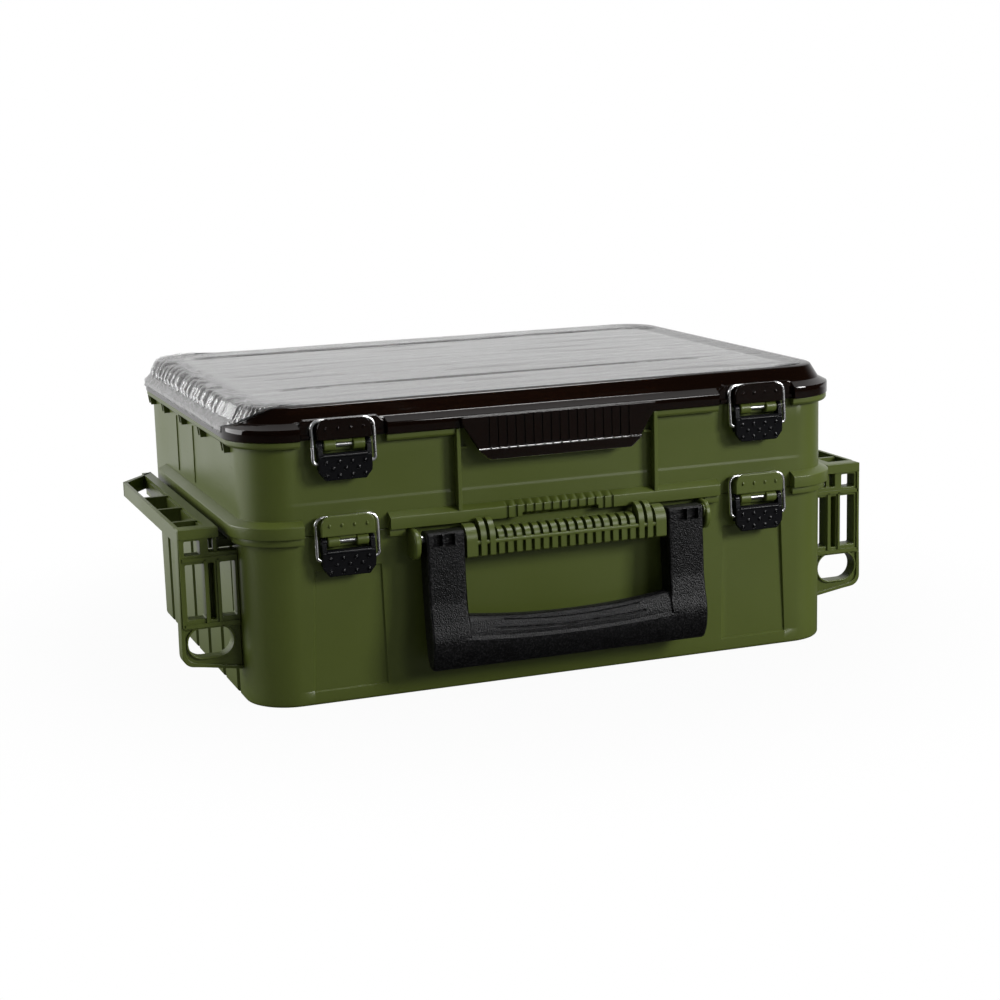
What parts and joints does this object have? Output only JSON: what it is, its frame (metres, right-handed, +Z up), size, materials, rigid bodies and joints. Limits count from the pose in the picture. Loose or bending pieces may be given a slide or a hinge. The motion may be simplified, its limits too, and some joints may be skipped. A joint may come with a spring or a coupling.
{
  "type": "fishing tackle box",
  "caption": "Latched two-layer tackle box: deep bin, hinged divided tray, smoked clear lid, folding carry handle and slotted side brackets.",
  "frame": {"origin": "middle of the bin's flat underside", "axes": "+Z up; +X to the right as seen from the front; the handle and the latches face -Y"},
  "size_m": [0.4728, 0.3318, 0.1861],
  "materials": {
    "olive_plastic": "satin olive green moulded polypropylene with a fine spark-eroded grain",
    "smoke_plastic": "glossy dark smoke-brown clear plastic, nearly black in the thick",
    "clear_film": "thin clear protective film, glossy and crinkled",
    "handle_plastic": "black moulded plastic with a fine spark-eroded grain",
    "lever_plastic": "black semi-gloss plastic",
    "divider_plastic": "dark grey satin plastic sheet",
    "wire_steel": "bright drawn stainless wire",
    "pin_steel": "turned steel pin"
  },
  "bodies": {
    "base": {"bin": "olive_plastic", "handle_ears": "olive_plastic", "handle_bar": "olive_plastic", "handle_pins": "pin_steel", "side_bracket_left": "olive_plastic", "side_bracket_right": "olive_plastic", "lower_latch_pins": "pin_steel", "tray_hinge_rods": "pin_steel"},
    "upper_tray": {"upper_tray": "olive_plastic", "tray_divider_long": "divider_plastic", "tray_dividers_cross": "divider_plastic", "upper_latch_pins": "pin_steel", "lid_hinge_rods": "pin_steel"},
    "lid": {"lid": "smoke_plastic", "lid_film": "clear_film"},
    "carry_handle": {"carry_handle": "handle_plastic"},
    "lever_lower_left": {"lever_lower_left": "lever_plastic"},
    "bail_lower_left": {"bail_lower_left": "wire_steel"},
    "lever_lower_right": {"lever_lower_right": "lever_plastic"},
    "bail_lower_right": {"bail_lower_right": "wire_steel"},
    "lever_upper_left": {"lever_upper_left": "lever_plastic"},
    "bail_upper_left": {"bail_upper_left": "wire_steel"},
    "lever_upper_right": {"lever_upper_right": "lever_plastic"},
    "bail_upper_right": {"bail_upper_right": "wire_steel"}
  },
  "joints": [
    {"name": "tray_hinge", "type": "hinge", "parent": "base", "child": "upper_tray", "pos_m": [0, 0.1545, 0.106], "axis": [-1, 0, 0], "range_deg": [0, 95]},
    {"name": "lid_hinge", "type": "hinge", "parent": "upper_tray", "child": "lid", "pos_m": [0, 0.1545, 0.165], "axis": [-1, 0, 0], "range_deg": [0, 95]},
    {"name": "handle_swing", "type": "hinge", "parent": "base", "child": "carry_handle", "pos_m": [0, -0.159, 0.0995], "axis": [-1, 0, 0], "range_deg": [0, 90]},
    {"name": "lever_lower_left_turn", "type": "hinge", "parent": "base", "child": "lever_lower_left", "pos_m": [-0.1389, -0.1519, 0.1026], "axis": [-1, 0, 0], "range_deg": [0, 80]},
    {"name": "bail_lower_left_turn", "type": "hinge", "parent": "lever_lower_left", "child": "bail_lower_left", "pos_m": [-0.1389, -0.1533, 0.0917], "axis": [-1, 0, 0], "range_deg": [-60, 0]},
    {"name": "lever_lower_right_turn", "type": "hinge", "parent": "base", "child": "lever_lower_right", "pos_m": [0.1389, -0.1519, 0.1026], "axis": [-1, 0, 0], "range_deg": [0, 80]},
    {"name": "bail_lower_right_turn", "type": "hinge", "parent": "lever_lower_right", "child": "bail_lower_right", "pos_m": [0.1389, -0.1533, 0.0917], "axis": [-1, 0, 0], "range_deg": [-60, 0]},
    {"name": "lever_upper_left_turn", "type": "hinge", "parent": "upper_tray", "child": "lever_upper_left", "pos_m": [-0.1389, -0.1519, 0.1616], "axis": [-1, 0, 0], "range_deg": [0, 80]},
    {"name": "bail_upper_left_turn", "type": "hinge", "parent": "lever_upper_left", "child": "bail_upper_left", "pos_m": [-0.1389, -0.1533, 0.1507], "axis": [-1, 0, 0], "range_deg": [-60, 0]},
    {"name": "lever_upper_right_turn", "type": "hinge", "parent": "upper_tray", "child": "lever_upper_right", "pos_m": [0.1389, -0.1519, 0.1616], "axis": [-1, 0, 0], "range_deg": [0, 80]},
    {"name": "bail_upper_right_turn", "type": "hinge", "parent": "lever_upper_right", "child": "bail_upper_right", "pos_m": [0.1389, -0.1533, 0.1507], "axis": [-1, 0, 0], "range_deg": [-60, 0]}
  ],
  "couplings": [
    {"joint": "bail_lower_left_turn", "follows": "lever_lower_left_turn", "ratio": -0.7},
    {"joint": "bail_lower_right_turn", "follows": "lever_lower_right_turn", "ratio": -0.7},
    {"joint": "bail_upper_left_turn", "follows": "lever_upper_left_turn", "ratio": -0.7},
    {"joint": "bail_upper_right_turn", "follows": "lever_upper_right_turn", "ratio": -0.7}
  ]
}
